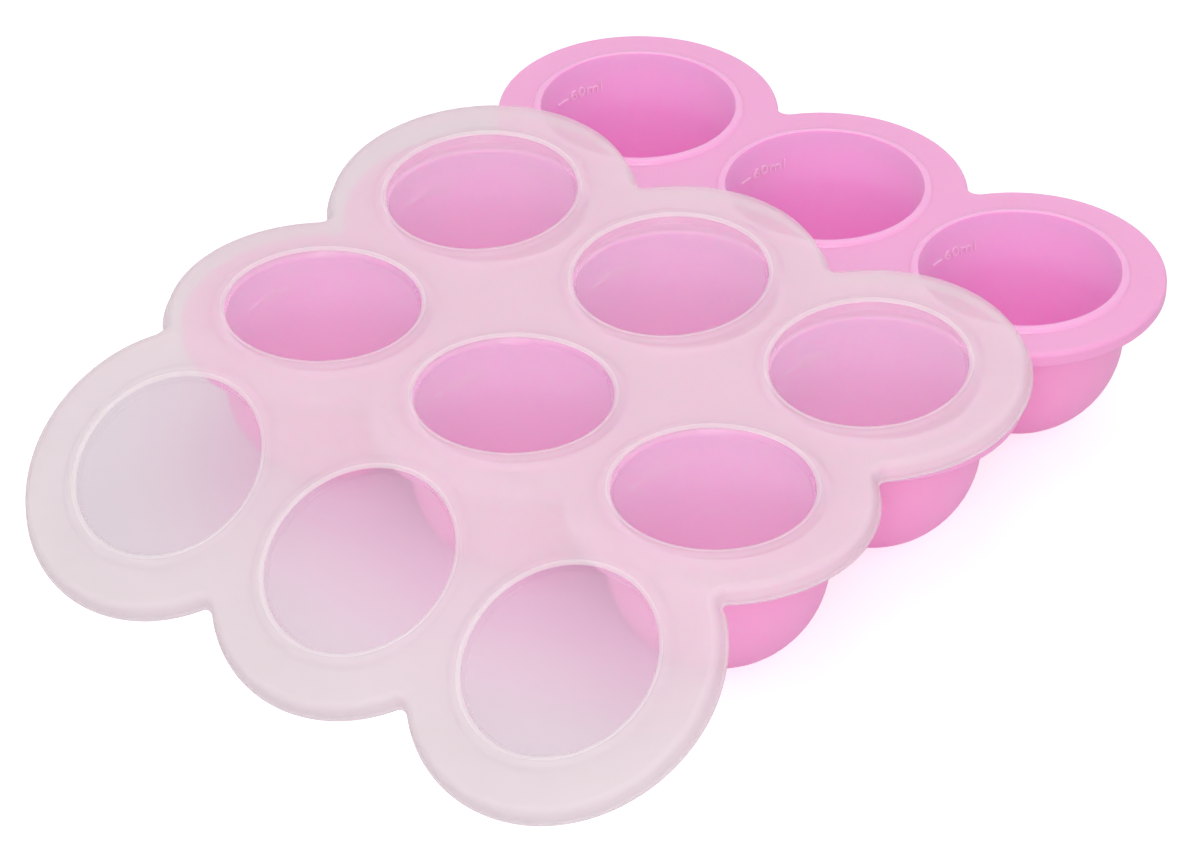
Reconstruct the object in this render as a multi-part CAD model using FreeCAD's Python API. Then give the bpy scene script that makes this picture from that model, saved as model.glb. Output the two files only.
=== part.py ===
"""Nine-cup silicone freezer tray for baby food with its clip-on lid.

Frame: millimetres, +Z up, origin on the supporting surface under the centre
cup.  The tray is one silicone moulding, written as its flange and its cups,
which meet at the flange's underside: the four corner cups, and the cross of
five between them.  The lid is one thin plastic moulding.  It lies off the
tray by one cup pitch towards -X: two of its columns of windows are over cups,
and the third hangs over the edge and has bent down.
"""
import FreeCAD, Part
import math
import os

V = FreeCAD.Vector
Y_AXIS = V(0, 1, 0)
Z_AXIS = V(0, 0, 1)
CENTRE = V(0, 0, 0)

# ---- cups ------------------------------------------------------------------
CUPS_A_SIDE = 3
CUP_HEIGHT = 45.0                 # supporting surface to flange top
MOUTH_R = 27.0                    # inside of a cup, straight at the top
WALL = 1.5
FLOOR_T = 2.2
FOOT_R = 9.7                      # flat bottom that a cup stands on
BOWL_BANDS = 3                    # conical bands that round the bowl

BEAD_H = 1.2                      # sealing bead round each mouth
BEAD_W = 2.4
BEAD_CREST_W = 0.8
BEAD_GAP = 6.2                    # between the beads of two cups

FILL_LINE_DEPTH = 8.6             # flange top down to the 60 ml line
FILL_LINE_W = 0.5
FILL_LINE_PROUD = 0.3
FILL_LINE_START = 86.0            # degrees round the cup from +X
FILL_LINE_SWEEP = 9.0

# ---- flange ----------------------------------------------------------------
FLANGE_T = 4.4
FLANGE_RIM_W = 9.6                # bead to the edge of the flange
FLANGE_NOTCH_R = 3.0              # rounding of the notch between lobes
FLANGE_BEVEL = 0.9

# ---- lid as moulded, heights measured from the top of its plateau ---------
SHEET_T = 1.0
SKIRT_PLAY = 1.4                  # skirt round the edge of the flange
LID_NOTCH_R = 2.4
LIP_T = 0.8
LIP_W = 0.8
SKIRT_DEPTH = 4.9                 # plateau down to the bottom of the lip
SHOULDER = 1.5                    # bevel between plateau and skirt

PANEL_DEPTH = 1.9                 # each window is a sunk, clear panel
PANEL_T = 0.8
PLUG_CLEARANCE = 0.2              # plug inside the mouth of a cup
PLUG_DRAFT = 0.8                  # how far the plug narrows to its bottom
RING_H = 0.65                     # raised ring, hollow below for the bead
RING_W = 3.2
RING_SLOPE_W = 0.8
BEAD_CLEARANCE = 0.2              # bead inside the hollow of the ring

# ---- how the lid lies on the tray ----------------------------------------
LID_PLAY = 0.4                    # plugs over the bead crests
EDGE_PLAY = 0.3                   # overhanging plugs beside the flange edge
RISE_ANGLE = 4.4                  # slope up to the free +X end
DROOP_ANGLE = 31.5                # slope down of the overhanging column
DROOP_STEPS = 2                   # folds that make the bend
DROOP_STEP_W = 1.6                # between two folds

# ---- what follows from the sizes above ------------------------------------
BEAD_OUT_R = MOUTH_R + BEAD_W
PITCH = 2 * BEAD_OUT_R + BEAD_GAP
COLLAR_R = BEAD_OUT_R + BEAD_GAP / 4
FLANGE_LOBE_R = BEAD_OUT_R + FLANGE_RIM_W
OUTER_R = MOUTH_R + WALL
BOWL_DEPTH = CUP_HEIGHT - math.sqrt(OUTER_R ** 2 - FOOT_R ** 2)
SKIRT_R = FLANGE_LOBE_R + SKIRT_PLAY + SHEET_T
LID_LOBE_R = SKIRT_R + LIP_W
PLUG_R = MOUTH_R - PLUG_CLEARANCE
PLUG_LOW_R = PLUG_R - PLUG_DRAFT
PLUG_DEPTH = PANEL_DEPTH + PANEL_T
BLOCK = 2 * CUPS_A_SIDE * PITCH   # larger than the lid, for cutting


# ---- helpers -------------------------------------------------------------
def polar(centre, radius, degrees):
    """Point at a radius and an angle round a centre, in a level plane."""
    a = math.radians(degrees)
    return centre + V(radius * math.cos(a), radius * math.sin(a), 0)


def level_arc(centre, radius, start, end):
    """Arc round a centre in a level plane, between two angles in degrees."""
    points = [polar(centre, radius, a) for a in (start, (start + end) / 2, end)]
    return Part.Arc(*points).toShape()


def lobed_outline(radius, notch, z):
    """Closed outline round the lobes, with its notches rounded.

    One side is drawn, from the middle of one corner lobe to the middle of
    the next, and then turned in quarters round the origin.
    """
    half = PITCH / 2
    reach = math.sqrt((radius + notch) ** 2 - half ** 2)
    lean = math.degrees(math.atan2(reach, half))
    corner_start = V(-PITCH, -PITCH, z)
    middle = V(0, -PITCH, z)
    corner_end = V(PITCH, -PITCH, z)
    pits = [V(x, -PITCH - reach, z) for x in (-half, half)]
    side = [level_arc(corner_start, radius, 225.0, 360.0 - lean),
            level_arc(pits[0], notch, 180.0 - lean, lean),
            level_arc(middle, radius, 180.0 + lean, 360.0 - lean),
            level_arc(pits[1], notch, 180.0 - lean, lean),
            level_arc(corner_end, radius, 180.0 + lean, 315.0)]
    edges = []
    for quarter in range(4):
        for edge in side:
            turned = edge.copy()
            turned.rotate(CENTRE, Z_AXIS, 90.0 * quarter)
            edges.append(turned)
    return Part.Wire(edges)


def lobed_plate(radius, notch, z_low, z_high):
    """Flat plate with the lobed outline."""
    face = Part.Face(lobed_outline(radius, notch, z_low))
    return face.extrude(V(0, 0, z_high - z_low))


def rim_edges(plate, z):
    """Edges of a plate's outline that lie at height z."""
    boxes = [(edge, edge.BoundBox) for edge in plate.Edges]
    return [edge for edge, box in boxes
            if abs(box.ZMin - z) < 1e-4 and abs(box.ZMax - z) < 1e-4]


def closed_wire(points):
    """Closed wire through (r, z) points in the XZ plane."""
    corners = [V(r, 0, z) for r, z in points]
    return Part.makePolygon(corners + corners[:1])


def spun(points, degrees=360.0):
    """Solid of revolution round Z from a closed (r, z) profile."""
    return Part.Face(closed_wire(points)).revolve(CENTRE, Z_AXIS, degrees)


def cup_centres():
    """Where the cups stand, row by row."""
    steps = [(i - (CUPS_A_SIDE - 1) / 2) * PITCH for i in range(CUPS_A_SIDE)]
    return [V(x, y, 0) for y in steps for x in steps]


# ---- tray ----------------------------------------------------------------
def bowl_points(radius, floor_depth):
    """Points down the round side of a bowl to its flat floor."""
    sink = math.asin((floor_depth - BOWL_DEPTH) / radius)
    angles = [sink * i / BOWL_BANDS for i in range(BOWL_BANDS + 1)]
    return [(radius * math.cos(a), -BOWL_DEPTH - radius * math.sin(a))
            for a in angles]


def cup():
    """The bowl of one cup, from the underside of the flange down."""
    inner_floor = CUP_HEIGHT - FLOOR_T
    profile = [(0, -inner_floor)] + bowl_points(MOUTH_R, inner_floor)[::-1]
    profile += [(MOUTH_R, -FLANGE_T), (OUTER_R, -FLANGE_T)]
    profile += bowl_points(OUTER_R, CUP_HEIGHT) + [(0, -CUP_HEIGHT)]
    return spun(profile)


def mouth():
    """The flange round one mouth, out to a collar, with the sealing bead."""
    crest_in = MOUTH_R + (BEAD_W - BEAD_CREST_W) / 2
    crest_out = crest_in + BEAD_CREST_W
    return spun([(MOUTH_R, -FLANGE_T), (MOUTH_R, 0), (crest_in, BEAD_H),
                 (crest_out, BEAD_H), (BEAD_OUT_R, 0), (COLLAR_R, 0),
                 (COLLAR_R, -FLANGE_T)])


def fill_line():
    """Short raised line inside a cup at its 60 ml level."""
    near = MOUTH_R - FILL_LINE_PROUD
    far = MOUTH_R + WALL / 2
    low = -FILL_LINE_DEPTH - FILL_LINE_W / 2
    high = -FILL_LINE_DEPTH + FILL_LINE_W / 2
    bar = spun([(near, low), (far, low), (far, high), (near, high)],
               FILL_LINE_SWEEP)
    bar.rotate(CENTRE, Z_AXIS, FILL_LINE_START)
    return bar


def make_cups(centres):
    """Bowls with their fill lines, each against the flange above it."""
    marked = cup().fuse(fill_line()).removeSplitter()
    height = V(0, 0, CUP_HEIGHT)
    return Part.Compound([marked.translated(c + height) for c in centres])


def make_tray_flange():
    """The lobed flange with a mouth and a bead over each bowl."""
    plate = lobed_plate(FLANGE_LOBE_R, FLANGE_NOTCH_R, -FLANGE_T, 0.0)
    plate = plate.makeChamfer(FLANGE_BEVEL, rim_edges(plate, 0.0))
    plate = plate.makeChamfer(FLANGE_BEVEL, rim_edges(plate, -FLANGE_T))
    hole = Part.makeCylinder(COLLAR_R, 3 * FLANGE_T, V(0, 0, -2 * FLANGE_T))
    plate = plate.cut([hole.translated(c) for c in cup_centres()])
    plate = plate.fuse([mouth().translated(c) for c in cup_centres()])
    return plate.removeSplitter().translated(V(0, 0, CUP_HEIGHT))


# ---- lid -----------------------------------------------------------------
def window():
    """One clear panel with its plug wall, its ring and the sheet round it."""
    wall_lean = PLUG_DRAFT / PLUG_DEPTH
    panel_r = PLUG_LOW_R - PANEL_T
    ring_in = panel_r + wall_lean * (PANEL_DEPTH + RING_H)
    ring_out = ring_in + RING_W
    hollow_out = BEAD_OUT_R + BEAD_CLEARANCE
    profile = [(0, -PANEL_DEPTH), (panel_r, -PANEL_DEPTH), (ring_in, RING_H),
               (ring_out, RING_H), (ring_out + RING_SLOPE_W, 0),
               (COLLAR_R, 0), (COLLAR_R, -SHEET_T), (hollow_out, -SHEET_T),
               (hollow_out, RING_H - SHEET_T), (PLUG_R, RING_H - SHEET_T),
               (PLUG_LOW_R, -PLUG_DEPTH), (0, -PLUG_DEPTH)]
    return spun(profile)


def moulded_lid():
    """The flat lid as it leaves the mould, centre window at the origin."""
    skirt_notch = LID_NOTCH_R + LIP_W
    body = lobed_plate(SKIRT_R, skirt_notch, -SKIRT_DEPTH, 0.0)
    body = body.makeChamfer(SHOULDER, rim_edges(body, 0.0))
    lip = lobed_plate(LID_LOBE_R, LID_NOTCH_R, -SKIRT_DEPTH, LIP_T - SKIRT_DEPTH)
    hollow = lobed_plate(SKIRT_R - SHEET_T, skirt_notch + SHEET_T,
                         -2 * SKIRT_DEPTH, -SHEET_T)
    hollow = hollow.makeChamfer(SHOULDER, rim_edges(hollow, -SHEET_T))
    pane = window()
    hole = Part.makeCylinder(COLLAR_R, 4 * SHEET_T, V(0, 0, -2 * SHEET_T))
    holes = [hole.translated(c) for c in cup_centres()]
    panes = [pane.translated(c) for c in cup_centres()]
    shell = body.fuse(lip).cut([hollow] + holes)
    return shell.fuse(panes).removeSplitter()


def half_space(x, lean, side):
    """Block on one side of a plane across the lid, leaning from upright.

    The plane turns about a line on the underside of the sheet at x.  The
    block is on the +X side for side 1 and on the -X side for side -1.
    """
    start = 0.0 if side > 0 else -BLOCK
    block = Part.makeBox(BLOCK, BLOCK, BLOCK, V(start, -BLOCK / 2, -BLOCK / 2))
    block.rotate(CENTRE, Y_AXIS, lean)
    return block.translated(V(x, 0, -SHEET_T))


def fold(lid, x, turn, side):
    """Turn the part of a lid beyond x about Y, with a mitred joint."""
    kept = lid.cut(half_space(x, turn / 2, side))
    moved = lid.common(half_space(x, -turn / 2, side))
    moved.rotate(V(x, 0, -SHEET_T), Y_AXIS, turn)
    return kept.fuse(moved).removeSplitter()


def folded(point, x, turn):
    """Where a point of the lid goes when the part that holds it is turned."""
    hinge = V(x, 0, -SHEET_T)
    return hinge + FreeCAD.Rotation(Y_AXIS, turn).multVec(point - hinge)


def make_lid():
    """The lid bent and laid as it rests on the tray.

    Its plugs ride on the bead crests, and the overhanging plugs hang just
    past the edge of the flange, which is what stops it from sliding back.
    """
    nearest_plug = V(PLUG_LOW_R - PITCH, 0, -PLUG_DEPTH)
    lid = fold(moulded_lid(), PITCH / 2, -RISE_ANGLE, 1)
    for i in reversed(range(DROOP_STEPS)):
        x = -PITCH / 2 - (i - (DROOP_STEPS - 1) / 2) * DROOP_STEP_W
        turn = -DROOP_ANGLE / DROOP_STEPS
        lid = fold(lid, x, turn, -1)
        nearest_plug = folded(nearest_plug, x, turn)
    seat_x = -PITCH - FLANGE_LOBE_R - EDGE_PLAY - nearest_plug.x
    seat_z = CUP_HEIGHT + BEAD_H + LID_PLAY + PLUG_DEPTH
    return lid.translated(V(seat_x, 0, seat_z))


def main():
    os.makedirs("parts", exist_ok=True)
    corners = [c for c in cup_centres() if c.x != 0 and c.y != 0]
    cross = [c for c in cup_centres() if c.x == 0 or c.y == 0]
    pieces = {"tray_flange": make_tray_flange(),
              "tray_cups_corner": make_cups(corners),
              "tray_cups_cross": make_cups(cross),
              "lid": make_lid()}
    for name, shape in pieces.items():
        shape.exportStep("parts/" + name + ".step")


main()
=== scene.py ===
"""Looks of a nine-cup silicone freezer tray and its bent, translucent lid."""
import math
import bpy
import bmesh
from mathutils import Matrix, Vector
from mathutils.geometry import delaunay_2d_cdt


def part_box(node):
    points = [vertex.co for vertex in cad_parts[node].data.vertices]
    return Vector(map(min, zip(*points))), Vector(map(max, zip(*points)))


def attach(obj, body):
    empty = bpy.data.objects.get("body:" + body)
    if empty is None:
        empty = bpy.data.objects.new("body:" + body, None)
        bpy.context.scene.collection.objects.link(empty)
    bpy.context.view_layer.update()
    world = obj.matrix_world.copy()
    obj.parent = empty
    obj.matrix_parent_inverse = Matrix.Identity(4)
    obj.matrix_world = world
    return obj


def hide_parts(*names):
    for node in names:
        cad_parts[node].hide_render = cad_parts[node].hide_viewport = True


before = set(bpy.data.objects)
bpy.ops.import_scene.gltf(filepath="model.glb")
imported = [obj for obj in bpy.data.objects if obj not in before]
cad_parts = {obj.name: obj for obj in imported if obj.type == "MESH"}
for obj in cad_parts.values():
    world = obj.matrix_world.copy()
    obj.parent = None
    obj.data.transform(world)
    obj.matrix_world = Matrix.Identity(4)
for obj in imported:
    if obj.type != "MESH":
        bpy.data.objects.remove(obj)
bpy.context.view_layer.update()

MM = 0.001

# ---- layout shared by tray and lid, as the frame has it -------------------
PITCH = 65 * MM
CUPS = [(x * PITCH, y * PITCH) for y in (-1, 0, 1) for x in (-1, 0, 1)]

# ---- tray -----------------------------------------------------------------
CUP_HEIGHT = 45 * MM              # floor to the flat top of the flange
MOUTH_R = 27 * MM
BOWL_DEPTH = 18.2 * MM            # flange top to the middle of the round bowl
WALL = 1.5 * MM
FLOOR_T = 2.2 * MM
INNER_FILLET = 8 * MM             # round corner between bowl and floor
OUTER_FILLET = 6 * MM
ROOT_FILLET = 1.3 * MM            # under the flange
FLANGE_T = 4.4 * MM
FLANGE_LOBE_R = 39 * MM
FLANGE_NOTCH_R = 3 * MM
FLANGE_TOP_FILLET = 1.3 * MM
FLANGE_LOW_FILLET = 1.0 * MM
BEAD_H = 1.2 * MM
BEAD_W = 2.4 * MM
BEAD_LIP = 0.5 * MM               # round inner edge of the bead
BEAD_FOOT = 0.15 * MM             # hollow corner outside the bead

# ---- fill mark in each cup: a short line and a plain 60 ml ----------------
MARK_DEPTH = 8.2 * MM             # middle of the lettering below the flange
MARK_HEIGHT = 3.1 * MM
MARK_PROUD = 0.42 * MM
MARK_START = 83.5                 # degrees round the cup, read from here
MARK_SWEEP = 22.5
LINE_DEPTH = 8.6 * MM
LINE_W = 0.5 * MM
LINE_BEVEL = 0.1 * MM
LINE_START = 86.0
LINE_SWEEP = 9.0

# ---- lid as moulded, heights from the top of its plateau ------------------
SHEET_T = 1.0 * MM
LID_LOBE_R = 42.2 * MM
LID_NOTCH_R = 2.4 * MM
LIP_T = 0.8 * MM
LIP_W = 0.8 * MM
LIP_FOOT_R = 0.4 * MM             # hollow corner between skirt and lip
SKIRT_DEPTH = 4.9 * MM
SKIRT_SPREAD = 0.3 * MM           # how far the skirt leans out
SHOULDER_R = 2.2 * MM
PANEL_DEPTH = 1.9 * MM
PANEL_T = 0.8 * MM
PANEL_R = 25.2 * MM
PLUG_R = 26.8 * MM
PLUG_LOW_R = 26.0 * MM
RING_IN_R = 25.96 * MM
RING_W = 3.2 * MM
RING_H = 0.65 * MM
RING_CROWN = 0.22                 # where the crown is, as a share of the width
RING_SLOPE_W = 0.8 * MM
HOLLOW_R = 29.6 * MM              # hollow below the ring, for the bead
LID_PLAY = 0.4 * MM               # plugs over the bead crests

# ---- how the lid is bent --------------------------------------------------
RISE_ANGLE = math.radians(4.4)    # up towards the free +X end
RISE_RUN = 10 * MM
DROOP_ANGLE = math.radians(31.5)  # down over the tray's edge
DROOP_RUN = 7 * MM

# ---- mesh fineness --------------------------------------------------------
CIRCLE_STEPS = 96
LOBE_STEP = 1.25                  # degrees
NOTCH_STEP = 6.0
BOWL_STEPS = 14
RING_STEPS = 8
LINE_STEPS = 8
GRID = 3 * MM                     # extra points on the lid's bending plateau

# ---- material slots, and where a window's profiles change from one to the next
OUTSIDE, BEAD, BOWL = 0, 1, 2
FRAME, CLEAR, CROWN = 0, 1, 2
TOP_ENDS = (4, 8)                 # loops that end the clear wall and the milky crown
UNDER_ENDS = (3, 3)               # no crown below

# ---- levels of light ------------------------------------------------------
WORLD_LIGHT = 0.70                # what lights the object
WORLD_SEEN = 1.0                  # what the camera and gloss see
BARE_LIGHT = (0.6, 0.6, 0.6, 1)   # added where the camera sees bare paper
PINK_LIGHT = (0.19, 0.075, 0.155, 1)    # added elsewhere, close to the tray
FAR_LIGHT = (0.02, 0.02, 0.02, 1)       # added elsewhere, away from it
PINK_NEAR, PINK_FAR = 0.085, 0.155      # m from the tray's middle
FLOOR_REACH = 6.0                 # m from the middle to each edge
LAMP_AIM = Vector((0, 0, 0.03))


# ---- meshes ---------------------------------------------------------------
INSIDE = 1                        # triangulate only what the edges enclose
SAME_POINT = 1e-9                 # m


class Shell:
    """Points and faces of one closed skin, built up loop by loop."""

    def __init__(self):
        self.points = []
        self.faces = []
        self.slots = []

    def loop(self, points):
        """Adds points, and gives their numbers."""
        first = len(self.points)
        self.points += [Vector(p) for p in points]
        return list(range(first, len(self.points)))

    def face(self, corners, slot):
        self.faces.append(corners)
        self.slots.append(slot)

    def bridge(self, a, b, slot=0):
        """Quads between two closed loops of the same length."""
        n = len(a)
        for i in range(n):
            j = (i + 1) % n
            self.face((a[i], a[j], b[j], b[i]), slot)

    def bridge_all(self, loops, slot=0):
        for a, b in zip(loops, loops[1:]):
            self.bridge(a, b, slot)

    def cap(self, loop, slot=0):
        """Fan from a loop to its middle."""
        middle = sum((self.points[i] for i in loop), Vector()) / len(loop)
        centre = self.loop([middle])[0]
        n = len(loop)
        for i in range(n):
            self.face((loop[i], loop[(i + 1) % n], centre), slot)

    def plate(self, outline, holes, z, extra=(), slot=0):
        """Flat region at height z between an outline and round holes."""
        loops = [outline] + [loop for _, _, loop in holes]
        known = [i for loop in loops for i in loop] + self.loop([(x, y, z) for x, y in extra])
        flat = [self.points[i].xy for i in known]
        edges = []
        start = 0
        for loop in loops:
            n = len(loop)
            edges += [(start + i, start + (i + 1) % n) for i in range(n)]
            start += n
        _, _, triangles, origins, _, _ = delaunay_2d_cdt(flat, edges, [], INSIDE, SAME_POINT)
        for triangle in triangles:
            corners = [known[origins[i][0]] for i in triangle]
            middle = sum((self.points[i] for i in corners), Vector()) / 3
            inside_hole = any((middle.xy - centre).length < radius for centre, radius, _ in holes)
            if not inside_hole:
                self.face(corners, slot)

    def build(self, name, materials, place=lambda point: point):
        """Object of this skin, with each point put where place says."""
        mesh = bpy.data.meshes.new(name)
        mesh.from_pydata([place(p) for p in self.points], [], self.faces)
        for material in materials:
            mesh.materials.append(material)
        mesh.polygons.foreach_set("material_index", self.slots)
        mesh.polygons.foreach_set("use_smooth", [True] * len(self.faces))
        bm = bmesh.new()
        bm.from_mesh(mesh)
        bmesh.ops.recalc_face_normals(bm, faces=bm.faces)
        bm.to_mesh(mesh)
        bm.free()
        obj = bpy.data.objects.new(name, mesh)
        bpy.context.scene.collection.objects.link(obj)
        return obj


def arc(middle, radius, start, end, steps):
    """Points on an arc, angles in degrees."""
    angles = [math.radians(start + (end - start) * i / steps) for i in range(steps + 1)]
    return [(middle[0] + radius * math.cos(a), middle[1] + radius * math.sin(a)) for a in angles]


def lobed(radius, notch):
    """Outline round the lobes, as a list of level points, notches rounded."""
    half = PITCH / 2
    reach = math.sqrt((radius + notch) ** 2 - half ** 2)
    lean = math.degrees(math.atan2(reach, half))

    def steps(start, end, step):
        return max(2, round(abs(end - start) / step))

    def lobe(x, start, end):
        return arc((x, -PITCH), radius, start, end, steps(start, end, LOBE_STEP))[:-1]

    def pit(x):
        start, end = 180 - lean, lean
        return arc((x, -PITCH - reach), notch, start, end, steps(start, end, NOTCH_STEP))[:-1]

    side = lobe(-PITCH, 225, 360 - lean) + pit(-half) + lobe(0, 180 + lean, 360 - lean)
    side += pit(half) + lobe(PITCH, 180 + lean, 315)
    turns = [Matrix.Rotation(math.radians(90 * q), 2) for q in range(4)]
    return [tuple(turn @ Vector(p)) for turn in turns for p in side]


def lobed_loops(shell, profile, radius, notch):
    """Loops round the outline, one for each (inset, height) of a profile."""
    loops = []
    for inset, z in profile:
        outline = lobed(radius - inset, notch + inset)
        loops.append(shell.loop([(x, y, z) for x, y in outline]))
    return loops


def round_loops(shell, profile, centre):
    """Loops round a centre, one for each (radius, height) of a profile."""
    loops = []
    for radius, z in profile:
        circle = arc(centre, radius, 0, 360, CIRCLE_STEPS)[:-1]
        loops.append(shell.loop([(x, y, z) for x, y in circle]))
    return loops


# ---- materials ------------------------------------------------------------
MIDDLE_OF_NOISE = (0.3, 0.7)      # most of what a noise texture gives
GRAIN_STRENGTH = 0.6
BLASTED, POLISHED = 0.38, 0.16    # lowest roughness of the silicone
ROUGH_SPAN = 0.1                  # from its lowest to its highest roughness


def linear(hex_colour):
    """Linear RGBA of an sRGB hex colour."""
    parts = [int(hex_colour[i:i + 2], 16) / 255 for i in (1, 3, 5)]
    return [c / 12.92 if c <= 0.04045 else ((c + 0.055) / 1.055) ** 2.4 for c in parts] + [1]


def add(material, kind, links=None, **settings):
    """Adds a node; links map its inputs to outputs, settings its values."""
    node = material.node_tree.nodes.new(kind)
    for key, value in settings.items():
        if key in node.inputs:
            node.inputs[key].default_value = value
        else:
            setattr(node, key, value)
    for key, output in (links or {}).items():
        material.node_tree.links.new(output, node.inputs[key])
    return node


def principled(name, **values):
    """Material with one Principled shader, and that shader."""
    material = bpy.data.materials.new(name)
    material.use_nodes = True
    shader = material.node_tree.nodes["Principled BSDF"]
    for key, value in values.items():
        shader.inputs[key.replace("_", " ")].default_value = value
    return material, shader


def ramp(material, value, from_range=(0.0, 1.0), to_range=(0.0, 1.0), **settings):
    """Output that goes from one level to another as a value does."""
    node = add(material, "ShaderNodeMapRange", {"Value": value}, **settings)
    keys = ("From Min", "From Max", "To Min", "To Max")
    for key, level in zip(keys, (*from_range, *to_range)):
        node.inputs[key].default_value = level
    return node.outputs["Result"]


def blend(material, share, *colours):
    """Colour between two others, each a linear RGBA or a node's output."""
    mix = add(material, "ShaderNodeMix", {0: share}, data_type="RGBA")
    for socket, colour in zip(mix.inputs[6:8], colours):
        if isinstance(colour, bpy.types.NodeSocket):
            material.node_tree.links.new(colour, socket)
        else:
            socket.default_value = colour
    return mix.outputs[2]


def grain(material, shader, size, height, spot, rough_low, rough_high):
    """Fine moulded grain, and patches where the surface is a bit duller.

    size and height are those of the grain, spot that of the patches, in
    metres.  Returns the patches, as a share that the colour can follow.
    """
    place = add(material, "ShaderNodeTexCoord").outputs["Object"]
    fine = add(material, "ShaderNodeTexNoise", {"Vector": place}, Scale=1 / size, Detail=3)
    bump = add(material, "ShaderNodeBump", {"Height": fine.outputs["Fac"]},
               Strength=GRAIN_STRENGTH, Distance=height)
    patches = add(material, "ShaderNodeTexNoise", {"Vector": place}, Scale=1 / spot, Detail=2)
    share = patches.outputs["Fac"]
    rough = ramp(material, share, MIDDLE_OF_NOISE, (rough_low, rough_high))
    tree = material.node_tree
    tree.links.new(bump.outputs["Normal"], shader.inputs["Normal"])
    tree.links.new(rough, shader.inputs["Roughness"])
    return share


def tint(material, shader, share, one, other):
    """Base colour that drifts from one hex colour to another."""
    colour = blend(material, share, linear(one), linear(other))
    material.node_tree.links.new(colour, shader.inputs["Base Color"])


def silicone_base(name, scatter, rough):
    """Pigmented platinum silicone, pressed in a steel mould.

    Light goes about a millimetre into it; scatter is the share that does.
    Returns the material, its shader and its patches, with the colour still
    to set.
    """
    material, shader = principled(
        name, Subsurface_Weight=scatter, Subsurface_Scale=1.3 * MM,
        Subsurface_Radius=(1.0, 0.4, 0.8), Specular_IOR_Level=0.5, IOR=1.5,
        Sheen_Weight=0.05, Sheen_Roughness=0.5)
    patches = grain(material, shader, size=0.35 * MM, height=0.02 * MM, spot=14 * MM,
                    rough_low=rough, rough_high=rough + ROUGH_SPAN)
    return material, shader, patches


def silicone(name, scatter, rough, one, other):
    """Silicone whose colour drifts a little from patch to patch."""
    material, shader, patches = silicone_base(name, scatter, rough)
    tint(material, shader, patches, one, other)
    return material


def bowl_silicone_painted_shading(name, scatter, rough, low, high):
    """Silicone inside the cups, where light comes through the wall.

    Its colour is painted: paler up the walls, as painted light coming through them, and a deeper
    pink towards the foot, as painted shade.
    """
    material, shader, _ = silicone_base(name, scatter, rough)
    place = add(material, "ShaderNodeTexCoord").outputs["Object"]
    height = add(material, "ShaderNodeSeparateXYZ", {"Vector": place}).outputs["Z"]
    share = ramp(material, height, (3 * MM, 34 * MM), interpolation_type="SMOOTHSTEP")
    # painted light and shade: deeper pink low in the cup, paler higher up
    tint(material, shader, share, low, high)
    return material


def milky(material, shader, seen, shade):
    """Hides a share of what the camera sees behind, and less of the light.

    Most of what such a sheet scatters goes on down, so it blurs what lies
    below it more than it shades it.
    """
    path = add(material, "ShaderNodeLightPath").outputs
    solid = ramp(material, path["Is Camera Ray"], to_range=(shade, seen))
    material.node_tree.links.new(solid, shader.inputs["Alpha"])


def natural_plastic(name, specular, ior):
    """Natural, unpigmented soft plastic that scatters light all through."""
    return principled(
        name, Subsurface_Weight=1.0, Subsurface_Scale=4 * MM,
        Subsurface_Radius=(1.0, 1.0, 1.0), Specular_IOR_Level=specular, IOR=ior)


def frosted(name, seen):
    """Lid frame and ring crowns: natural plastic, matt from a blasted mould."""
    material, shader = natural_plastic(name, specular=0.35, ior=1.4)
    patches = grain(material, shader, size=0.3 * MM, height=0.015 * MM, spot=18 * MM,
                    rough_low=0.42, rough_high=0.50)
    # the faint pink in these colours is painted pink light from the tray below
    tint(material, shader, patches, "#E9DEE0", "#ECE2E2")
    milky(material, shader, seen, shade=0.15)
    return material


def clear(name, seen):
    """Lid windows: the same plastic from a polished part of the mould."""
    material, shader = natural_plastic(name, specular=0.9, ior=1.6)
    patches = grain(material, shader, size=9 * MM, height=0.02 * MM, spot=25 * MM,
                    rough_low=0.12, rough_high=0.18)
    tint(material, shader, patches, "#FFFAFD", "#FFFDFE")
    milky(material, shader, seen, shade=0.03)
    return material


# ---- tray -----------------------------------------------------------------
def bowl_curve(radius, floor, fillet):
    """Profile of a round bowl from its flat floor up to its widest level."""
    middle = CUP_HEIGHT - BOWL_DEPTH
    low = middle - floor - fillet
    out = math.sqrt((radius - fillet) ** 2 - low ** 2)
    touch = math.degrees(math.atan2(-low, out))
    points = arc((out, floor + fillet), fillet, -90, touch, steps=6)[:-1]
    return points + arc((0, middle), radius, touch, 0, BOWL_STEPS)


def bead_curve():
    """Profile over the bead, from the mouth to the flat of the flange."""
    top = CUP_HEIGHT + BEAD_H
    crown = (BEAD_W - BEAD_LIP) / 2
    inner = arc((MOUTH_R + BEAD_LIP, top - BEAD_LIP), BEAD_LIP, 180, 90, steps=3)
    fall = ((0.7, 0.03 * MM), (1.3, 0.22 * MM), (1.7, 0.60 * MM))
    outer = [(MOUTH_R + BEAD_LIP + crown * share, top - drop) for share, drop in fall]
    foot = arc((MOUTH_R + BEAD_W + BEAD_FOOT, CUP_HEIGHT + BEAD_FOOT),
               BEAD_FOOT, 185, 270, steps=4)
    return inner + outer + foot


def flange_edge():
    """Profile round the flange's edge, from its top to its underside."""
    top = arc((FLANGE_TOP_FILLET, CUP_HEIGHT - FLANGE_TOP_FILLET),
              FLANGE_TOP_FILLET, 90, 180, steps=6)
    low_z = CUP_HEIGHT - FLANGE_T + FLANGE_LOW_FILLET
    low = arc((FLANGE_LOW_FILLET, low_z), FLANGE_LOW_FILLET, 180, 270, steps=5)
    return top + low


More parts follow.
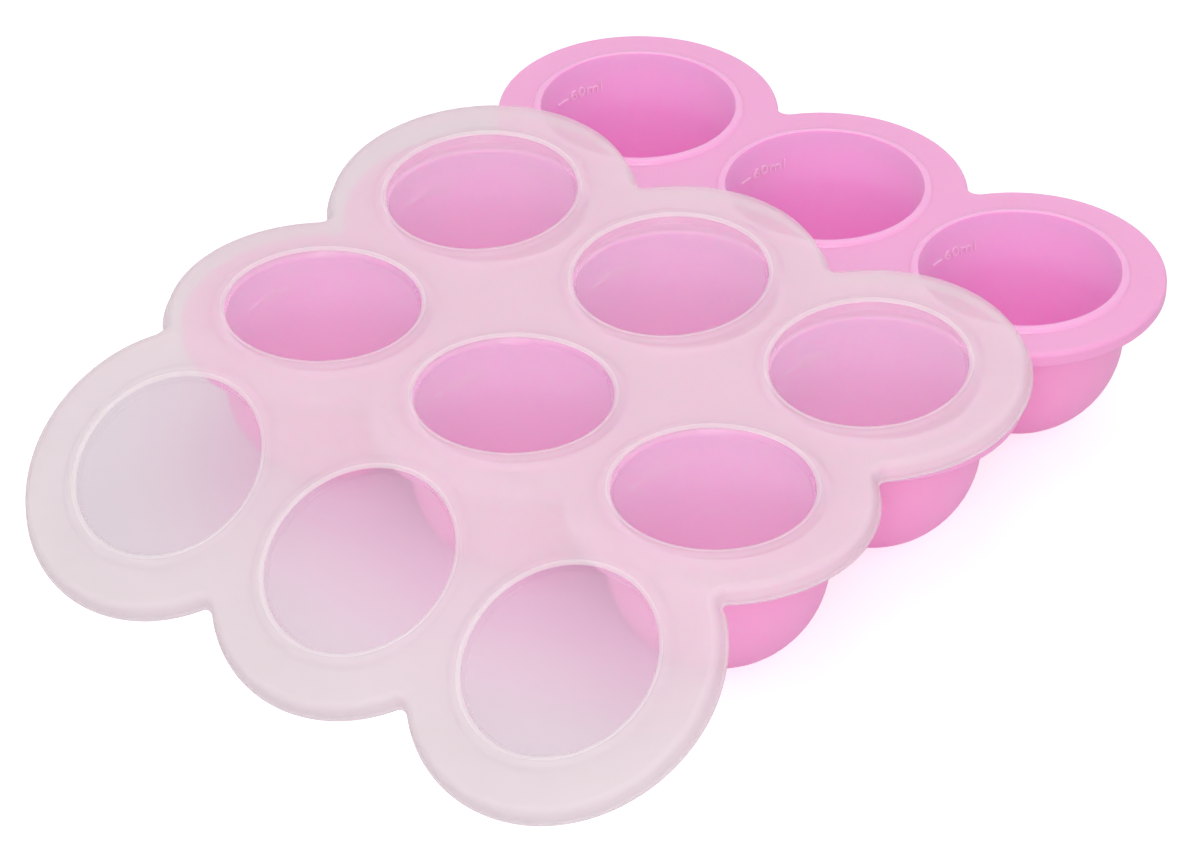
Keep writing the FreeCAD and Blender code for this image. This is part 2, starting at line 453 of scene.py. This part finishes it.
def make_tray(*materials):
    """The whole tray as one closed skin: flange and outsides, beads, bowls."""
    shell = Shell()
    edge = lobed_loops(shell, flange_edge(), FLANGE_LOBE_R, FLANGE_NOTCH_R)
    shell.bridge_all(edge)
    under_z = CUP_HEIGHT - FLANGE_T
    outer_r = MOUTH_R + WALL
    bowl = bowl_curve(MOUTH_R, FLOOR_T, INNER_FILLET)
    inside = bowl + bead_curve()
    outside = bowl_curve(outer_r, 0.0, OUTER_FILLET)
    outside += arc((outer_r + ROOT_FILLET, under_z - ROOT_FILLET),
                   ROOT_FILLET, 180, 90, steps=5)
    top_holes = []
    low_holes = []
    for centre in CUPS:
        inner = round_loops(shell, inside, centre)
        outer = round_loops(shell, outside, centre)
        shell.bridge_all(inner[:len(bowl) + 1], BOWL)
        shell.bridge_all(inner[len(bowl):], BEAD)
        shell.bridge_all(outer, OUTSIDE)
        shell.cap(inner[0], BOWL)
        shell.cap(outer[0], OUTSIDE)
        for loops, holes in ((inner, top_holes), (outer, low_holes)):
            radius = (shell.points[loops[-1][0]].xy - Vector(centre)).length
            holes.append((Vector(centre), radius, loops[-1]))
    shell.plate(edge[0], top_holes, CUP_HEIGHT)
    shell.plate(edge[-1], low_holes, under_z)
    tray = shell.build("tray_skin", materials)
    finish_piece(tray, "tray", "silicone", "tray_flange", "tray_cups_corner", "tray_cups_cross")
    return tray


def mark_line(shell, centre):
    """Short raised line on the wall of a cup, with bevelled edges."""
    middle = Vector((*centre, CUP_HEIGHT - LINE_DEPTH))
    back = MOUTH_R + MARK_PROUD
    near = MOUTH_R - MARK_PROUD
    shape = ((back, -LINE_W / 2), (near + LINE_BEVEL, -LINE_W / 2), (near, -LINE_W / 4),
             (near, LINE_W / 4), (near + LINE_BEVEL, LINE_W / 2), (back, LINE_W / 2))
    sections = []
    for i in range(LINE_STEPS + 1):
        a = math.radians(LINE_START + LINE_SWEEP * i / LINE_STEPS)
        around = Vector((math.cos(a), math.sin(a), 0))
        sections.append(shell.loop([middle + around * r + Vector((0, 0, h)) for r, h in shape]))
    shell.bridge_all(sections)
    shell.face(sections[0], 0)
    shell.face(sections[-1][::-1], 0)


def lettering():
    """Points and faces of the mark's plain words, one unit long, high and deep."""
    curve = bpy.data.curves.new("mark_words", "FONT")
    curve.body = "60ml"
    curve.extrude = 0.5
    curve.resolution_u = 3
    flat = bpy.data.objects.new("mark_words", curve)
    bpy.context.scene.collection.objects.link(flat)
    bpy.context.view_layer.update()
    graph = bpy.context.evaluated_depsgraph_get()
    mesh = bpy.data.meshes.new_from_object(flat.evaluated_get(graph))
    points = [v.co.copy() for v in mesh.vertices]
    faces = [tuple(p.vertices) for p in mesh.polygons]
    bpy.data.objects.remove(flat)
    bpy.data.curves.remove(curve)
    bpy.data.meshes.remove(mesh)
    low = Vector(min(p[i] for p in points) for i in range(3))
    high = Vector(max(p[i] for p in points) for i in range(3))
    points = [Vector((p[i] - low[i]) / (high[i] - low[i]) for i in range(3)) for p in points]
    return points, faces


def make_marks(material):
    """Fill mark in every cup: the line, and the words wrapped on the wall."""
    shell = Shell()
    points, faces = lettering()
    for centre in CUPS:
        mark_line(shell, centre)
        wrapped = []
        for x, y, depth in points:    # the back of the words is sunk in the wall
            a = math.radians(MARK_START - MARK_SWEEP * x)
            r = MOUTH_R + MARK_PROUD * (0.5 - 1.5 * depth)
            z = CUP_HEIGHT - MARK_DEPTH + MARK_HEIGHT * (y - 0.5)
            wrapped.append((centre[0] + r * math.cos(a), centre[1] + r * math.sin(a), z))
        first = shell.loop(wrapped)[0]
        for face in faces:
            shell.face([first + i for i in face], 0)
    marks = shell.build("fill_marks", [material])
    marks.data.polygons.foreach_set("use_smooth", [False] * len(marks.data.polygons))
    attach(marks, "tray")
    return marks


# ---- lid ------------------------------------------------------------------
def turn_after(point, x, angle, run, side):
    """Bends what lies beyond x evenly over a run, in the XZ plane.

    The bend keeps lengths on the underside of the sheet.  A positive angle
    bends downwards.
    """
    far = side * (point.x - x) + run / 2
    if far <= 0:
        return point
    share = min(far / run, 1.0)
    turned = angle * share
    radius = run / angle
    straight = max(far - run, 0.0)
    height = point.z + SHEET_T
    sin, cos = math.sin(turned), math.cos(turned)
    out = radius * sin + straight * cos + height * sin
    down = radius * (1 - cos) + straight * sin - height * cos
    return Vector((x + side * (out - run / 2), point.y, -down - SHEET_T))


def bent(point):
    """Where a point of the flat lid goes when the lid is bent."""
    point = turn_after(point, PITCH / 2, -RISE_ANGLE, RISE_RUN, 1)
    return turn_after(point, -PITCH / 2, DROOP_ANGLE, DROOP_RUN, -1)


def lid_edge():
    """Profile round the lid's edge: (inset from the lip, height)."""
    skirt = LIP_W + SKIRT_SPREAD
    lip_top = LIP_T - SKIRT_DEPTH
    top = arc((skirt + SHOULDER_R, -SHOULDER_R), SHOULDER_R, 90, 180, steps=7)
    foot = arc((LIP_W - LIP_FOOT_R, lip_top + LIP_FOOT_R), LIP_FOOT_R, 0, -90, steps=3)
    lip = arc((LIP_T / 2, lip_top - LIP_T / 2), LIP_T / 2, 90, 270, steps=6)
    inside = [(LIP_W + SHEET_T, -SKIRT_DEPTH), (LIP_W + SHEET_T, -SKIRT_DEPTH + LIP_FOOT_R)]
    inner_r = SHOULDER_R - SHEET_T
    inner = arc((skirt + SHOULDER_R, -SHOULDER_R), inner_r, 180, 90, steps=5)
    return top + foot + lip + inside + inner


def window_top():
    """Profile over a window, from the panel up over the ring to the plateau.

    TOP_ENDS counts its points: up to the first count they are clear, then
    milky up to the second.
    """
    panel = -PANEL_DEPTH
    crown = RING_IN_R + RING_CROWN * RING_W
    foot = RING_IN_R + RING_W + RING_SLOPE_W
    inner = [(PANEL_R - 3 * MM, panel), (PANEL_R - 0.5 * MM, panel),
             (PANEL_R, panel + 0.08 * MM), (PANEL_R + 0.15 * MM, panel + 0.35 * MM),
             (RING_IN_R - 0.1 * MM, RING_H - 0.55 * MM),
             (RING_IN_R + 0.15 * MM, RING_H - 0.18 * MM),
             (RING_IN_R + 0.5 * MM, RING_H - 0.03 * MM)]
    shares = [i / RING_STEPS for i in range(RING_STEPS + 1)]
    outer = [(crown + (foot - crown) * t, RING_H * (0.5 + 0.5 * math.cos(math.pi * t)))
             for t in shares]
    return inner + outer


def window_under():
    """Profile below a window, from the plug's middle to the sheet.

    UNDER_ENDS counts its points as TOP_ENDS does.
    """
    low = -PANEL_DEPTH - PANEL_T
    ring = RING_H - SHEET_T
    return [(PLUG_LOW_R - 3 * MM, low), (PLUG_LOW_R - 0.4 * MM, low),
            (PLUG_LOW_R, low + 0.3 * MM), (PLUG_R - 0.05 * MM, ring - 0.3 * MM),
            (PLUG_R + 0.2 * MM, ring), (HOLLOW_R - 0.2 * MM, ring),
            (HOLLOW_R, ring - 0.15 * MM), (HOLLOW_R + 0.1 * MM, -SHEET_T)]


def plateau_points(outline_inset, hole_r):
    """Extra points on the lid's plateau, so that it can bend."""
    points = []
    steps = int((PITCH + LID_LOBE_R) / GRID)
    limit = LID_LOBE_R - outline_inset - 0.5 * GRID
    for i in range(-steps, steps + 1):
        for j in range(-steps, steps + 1):
            p = Vector((i * GRID, j * GRID))
            near = min((p - Vector(c)).length for c in CUPS)
            between = abs(p.x) < PITCH and abs(p.y) < PITCH
            if near > hole_r + 0.5 * GRID and (near < limit or between):
                points.append(tuple(p))
    return points


def make_lid(*materials):
    """The lid as one closed skin, bent and laid where the frame has it.

    The materials are those of the frame, the clear windows and the crowns.
    """
    shell = Shell()
    edge = lobed_loops(shell, lid_edge(), LID_LOBE_R, LID_NOTCH_R)
    shell.bridge_all(edge)
    profiles = ((window_top(), *TOP_ENDS), (window_under(), *UNDER_ENDS))
    holes = ([], [])
    for centre in CUPS:
        for (profile, wall, crown), side in zip(profiles, holes):
            loops = round_loops(shell, profile, centre)
            shell.bridge_all(loops[:wall + 1], CLEAR)
            shell.bridge_all(loops[wall:crown + 1], CROWN)
            shell.bridge_all(loops[crown:], FRAME)
            shell.cap(loops[0], CLEAR)
            side.append((Vector(centre), profile[-1][0], loops[-1]))
    insets = (lid_edge()[0][0], lid_edge()[-1][0])
    for z, outline, side, inset in zip((0.0, -SHEET_T), (edge[0], edge[-1]), holes, insets):
        shell.plate(outline, side, z, plateau_points(inset, side[0][1]))
    low = min(bent(p).x for p in shell.points)
    seat_z = CUP_HEIGHT + BEAD_H + LID_PLAY + PANEL_DEPTH + PANEL_T
    seat = Vector((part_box("lid")[0][0] - low, 0, seat_z))
    lid = shell.build("lid_skin", materials, lambda p: bent(p) + seat)
    finish_piece(lid, "lid", "lid_plastic", "lid")
    return lid


# ---- put together ---------------------------------------------------------
def finish_piece(piece, body, slot, *nodes):
    """Lets a skin ride its body in place of the nodes that it dresses."""
    even = piece.modifiers.new("even_normals", "WEIGHTED_NORMAL")
    even.keep_sharp = True
    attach(piece, body)
    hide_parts(*nodes)


def make_floor():
    """White paper on the table, with the object's soft shadow on it.

    Where the camera sees it bare, added light lifts it to white, so that
    only a trace of the shadow is left.  Its own lilac grey is painted shade:
    seen through the lid it has its full shadow, darkened and tinted by that
    colour, and an added pink glow round the tray, which stands in for light
    that has gone through the silicone.
    """
    mesh = bpy.data.meshes.new("floor")
    corners = ((-1, -1), (1, -1), (1, 1), (-1, 1))
    mesh.from_pydata([(x * FLOOR_REACH, y * FLOOR_REACH, 0) for x, y in corners],
                     [], [(0, 1, 2, 3)])
    floor = bpy.data.objects.new("floor", mesh)
    bpy.context.scene.collection.objects.link(floor)
    # the paper's lilac grey is painted shade: it darkens and tints the floor seen through the lid
    material, shader = principled(
        "floor_paper", Base_Color=linear("#DED3DB"), Roughness=0.9, Emission_Strength=1.0)
    tree = material.node_tree
    seen = add(material, "ShaderNodeLightPath").outputs
    straight = add(material, "ShaderNodeMath", {"Value": seen["Transparent Depth"]},
                   operation="LESS_THAN")
    straight.inputs[1].default_value = 0.5    # nothing passed through yet
    bare = add(material, "ShaderNodeMath", {"Value": seen["Is Camera Ray"]},
               operation="MULTIPLY")
    tree.links.new(straight.outputs["Value"], bare.inputs[1])
    place = add(material, "ShaderNodeTexCoord").outputs["Object"]
    away = add(material, "ShaderNodeVectorMath", {"Vector": place}, operation="LENGTH")
    glow = ramp(material, away.outputs["Value"], (PINK_NEAR, PINK_FAR), (1.0, 0.0),
                interpolation_type="SMOOTHSTEP")
    shaded = blend(material, glow, FAR_LIGHT, PINK_LIGHT)
    light = blend(material, bare.outputs["Value"], shaded, BARE_LIGHT)
    tree.links.new(light, shader.inputs["Emission Color"])
    mesh.materials.append(material)


def make_world():
    """Even white surroundings, at full strength for the camera and in gloss."""
    world = bpy.data.worlds.new("studio")
    bpy.context.scene.world = world
    world.use_nodes = True
    background = world.node_tree.nodes["Background"]
    background.inputs["Color"].default_value = (1, 1, 1, 1)
    seen = add(world, "ShaderNodeLightPath").outputs
    direct = add(world, "ShaderNodeMath", {"Value": seen["Is Camera Ray"]}, operation="MAXIMUM")
    world.node_tree.links.new(seen["Is Glossy Ray"], direct.inputs[1])
    strength = ramp(world, direct.outputs["Value"], to_range=(WORLD_LIGHT, WORLD_SEEN))
    world.node_tree.links.new(strength, background.inputs["Strength"])


def add_lamp(name, place, size, power):
    """Soft box that points at the object, in metres and watts."""
    data = bpy.data.lights.new(name, "AREA")
    data.size = size
    data.energy = power
    lamp = bpy.data.objects.new(name, data)
    lamp.location = place
    lamp.rotation_euler = (LAMP_AIM - Vector(place)).to_track_quat("-Z", "Y").to_euler()
    bpy.context.scene.collection.objects.link(lamp)


CAMERA_PLACE = Vector((-0.9370, -0.7392, 0.8576))
CAMERA_AIM = Vector((0.62938, 0.51425, -0.58261))
CAMERA_ROLL = math.radians(-0.41)
CAMERA_LENS = 163.8               # mm
SENSOR_WIDTH = 36                 # mm


def make_camera():
    """Long lens from the front left, looking down on the tray."""
    data = bpy.data.cameras.new("camera")
    data.lens = CAMERA_LENS
    data.sensor_width = SENSOR_WIDTH
    data.clip_start = 0.05
    camera = bpy.data.objects.new("camera", data)
    camera.location = CAMERA_PLACE
    upright = CAMERA_AIM.to_track_quat("-Z", "Y").to_matrix()
    camera.rotation_euler = (upright @ Matrix.Rotation(CAMERA_ROLL, 3, "Z")).to_euler()
    bpy.context.scene.collection.objects.link(camera)
    bpy.context.scene.camera = camera


def main():
    scene = bpy.context.scene
    scene.view_settings.view_transform = "Standard"
    make_camera()
    make_world()
    make_floor()
    add_lamp("overhead", (0.0, 0.05, 1.4), size=1.0, power=3.2)
    add_lamp("front", (-1.09, -0.85, 0.74), size=0.7, power=6.2)
    deep, shallow, none = 0.7, 0.5, 0.0
    make_tray(silicone("silicone_pink", deep, BLASTED, "#F8ABDA", "#FAAFDC"),
              # the bead's lighter pink is a painted highlight; its low roughness is real polish
              silicone("silicone_pink_bead_painted_highlight", shallow, POLISHED, "#FFB4E2", "#FFB6E3"),
              # the bowl's two colours are painted shade at the foot and painted light up the
              # walls
              bowl_silicone_painted_shading("silicone_pink_bowl_painted_shading", deep, BLASTED, "#FFA2E0", "#FFC4EE"))
    # the marks' paler pink is a painted highlight on the raised lettering
    make_marks(silicone("silicone_pink_mark_painted_highlight", none, BLASTED, "#FFD0F0", "#FFD4F2"))
    make_lid(frosted("lid_frosted", seen=0.42), clear("lid_clear", seen=0.12),
             frosted("lid_crown", seen=0.62))


main()
